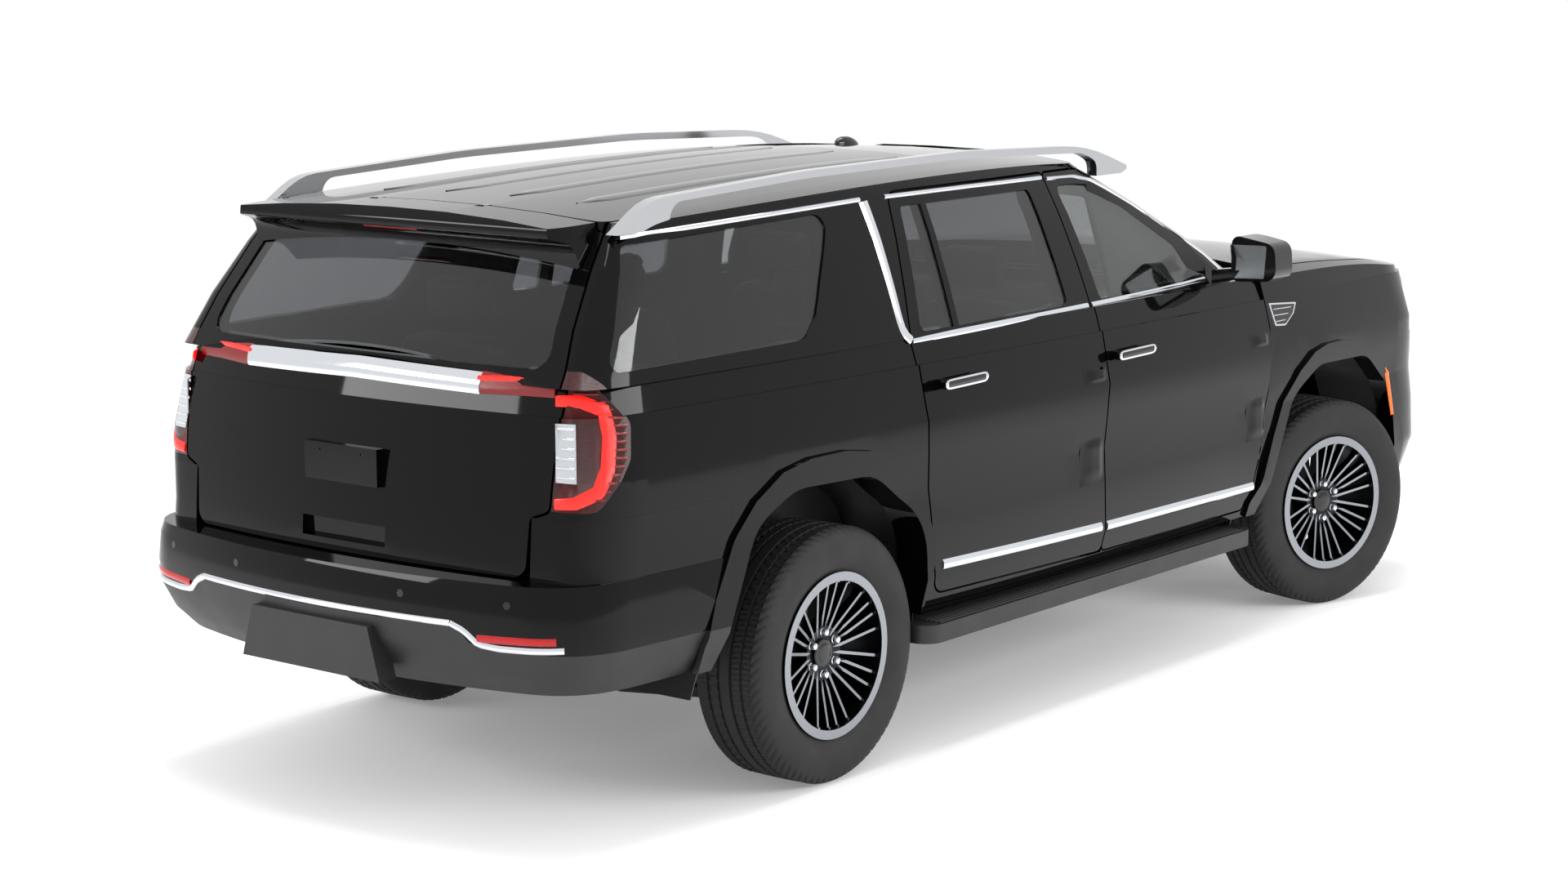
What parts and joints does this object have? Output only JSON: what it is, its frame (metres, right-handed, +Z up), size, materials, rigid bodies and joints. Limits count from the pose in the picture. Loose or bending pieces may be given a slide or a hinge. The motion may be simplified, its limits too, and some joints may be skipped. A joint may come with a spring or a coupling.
{
  "type": "sport utility vehicle",
  "caption": "Long-wheelbase full-size sport utility vehicle with opening doors, bonnet and liftgate, steered front wheels and wheels that roll.",
  "frame": {"origin": "on the ground under the middle of the overall length, on the centre line", "axes": "+X towards the front, +Y to the vehicle's left, +Z up"},
  "size_m": [5.732, 2.4574, 1.9651],
  "materials": {
    "body_paint": "gloss black",
    "frame_paint": "satin black",
    "gloss_trim": "gloss black",
    "dark_trim": "grained dark grey",
    "bright_trim": "bright",
    "glazing": "smoked",
    "lamp_red": "clear red",
    "lamp_clear": "clear",
    "tyre_rubber": "matt",
    "alloy": "machined and dark grey",
    "iron": "machined",
    "upholstery": "black",
    "steel": "dull"
  },
  "bodies": {
    "vehicle": {"chassis_frame": "frame_paint", "floor_pan": "frame_paint", "roof_panel": "body_paint", "body_side_right": "body_paint", "body_side_left": "body_paint", "fender_right": "body_paint", "fender_left": "body_paint", "front_bumper": "body_paint", "grille": "gloss_trim", "headlamps": "lamp_clear", "tail_lamps": "lamp_red", "rear_bumper": "body_paint", "rear_valance": "dark_trim", "roof_rails": "bright_trim", "fixed_glass": "glazing", "running_boards": "dark_trim", "dashboard": "dark_trim", "steering_wheel": "upholstery", "front_seats": "upholstery", "rear_seats": "upholstery", "engine": "iron", "driveline": "steel", "suspension": "iron", "fuel_tank": "dark_trim", "exhaust": "steel"},
    "front_right_door": {"door_front_right": "body_paint", "door_front_right_glass": "glazing", "mirror_right": "gloss_trim"},
    "front_left_door": {"door_front_left": "body_paint", "door_front_left_glass": "glazing", "mirror_left": "gloss_trim"},
    "rear_right_door": {"door_rear_right": "body_paint", "door_rear_right_glass": "glazing"},
    "rear_left_door": {"door_rear_left": "body_paint", "door_rear_left_glass": "glazing"},
    "bonnet": {"hood": "body_paint"},
    "liftgate": {"tailgate": "body_paint", "tailgate_glass": "glazing", "rear_spoiler": "body_paint"},
    "steer_right": {"knuckle_right": "iron"},
    "steer_left": {"knuckle_left": "iron"},
    "wheel_front_right": {"tyre_front_right": "tyre_rubber", "rim_front_right": "alloy"},
    "wheel_front_left": {"tyre_front_left": "tyre_rubber", "rim_front_left": "alloy"},
    "wheel_rear_right": {"tyre_rear_right": "tyre_rubber", "rim_rear_right": "alloy"},
    "wheel_rear_left": {"tyre_rear_left": "tyre_rubber", "rim_rear_left": "alloy"}
  },
  "joints": [
    {"name": "front_right_door_hinge", "type": "hinge", "parent": "vehicle", "child": "front_right_door", "pos_m": [1.18, -0.99766, 0.99], "axis": [0, 0, 1], "range_deg": [0, 65]},
    {"name": "front_left_door_hinge", "type": "hinge", "parent": "vehicle", "child": "front_left_door", "pos_m": [1.18, 0.99766, 0.99], "axis": [0, 0, -1], "range_deg": [0, 65]},
    {"name": "rear_right_door_hinge", "type": "hinge", "parent": "vehicle", "child": "rear_right_door", "pos_m": [-0.018, -1.00927, 0.99], "axis": [0, 0, 1], "range_deg": [0, 65]},
    {"name": "rear_left_door_hinge", "type": "hinge", "parent": "vehicle", "child": "rear_left_door", "pos_m": [-0.018, 1.00927, 0.99], "axis": [0, 0, -1], "range_deg": [0, 65]},
    {"name": "bonnet_hinge", "type": "hinge", "parent": "vehicle", "child": "bonnet", "pos_m": [1.31, 0, 1.376], "axis": [0, -1, 0], "range_deg": [0, 52]},
    {"name": "liftgate_hinge", "type": "hinge", "parent": "vehicle", "child": "liftgate", "pos_m": [-2.33, 0, 1.868], "axis": [0, 1, 0], "range_deg": [0, 80]},
    {"name": "steer_left_kingpin", "type": "hinge", "parent": "vehicle", "child": "steer_left", "pos_m": [1.885, 0.8, 0.419], "axis": [0, 0, 1], "range_deg": [-18, 50]},
    {"name": "steer_right_kingpin", "type": "hinge", "parent": "vehicle", "child": "steer_right", "pos_m": [1.885, -0.8, 0.419], "axis": [0, 0, 1], "range_deg": [-18, 50]},
    {"name": "wheel_front_right_spin", "type": "hinge", "parent": "steer_right", "child": "wheel_front_right", "pos_m": [1.86571, -0.86729, 0.419], "axis": [0.2756, 0.9613, 0], "continuous": true},
    {"name": "wheel_front_left_spin", "type": "hinge", "parent": "steer_left", "child": "wheel_front_left", "pos_m": [1.90429, 0.86729, 0.419], "axis": [0.2756, 0.9613, 0], "continuous": true},
    {"name": "wheel_rear_right_spin", "type": "hinge", "parent": "vehicle", "child": "wheel_rear_right", "pos_m": [-1.522, -0.87, 0.419], "axis": [0, 1, 0], "continuous": true},
    {"name": "wheel_rear_left_spin", "type": "hinge", "parent": "vehicle", "child": "wheel_rear_left", "pos_m": [-1.522, 0.87, 0.419], "axis": [0, 1, 0], "continuous": true}
  ],
  "couplings": [
    {"joint": "steer_right_kingpin", "follows": "steer_left_kingpin", "ratio": 1}
  ]
}
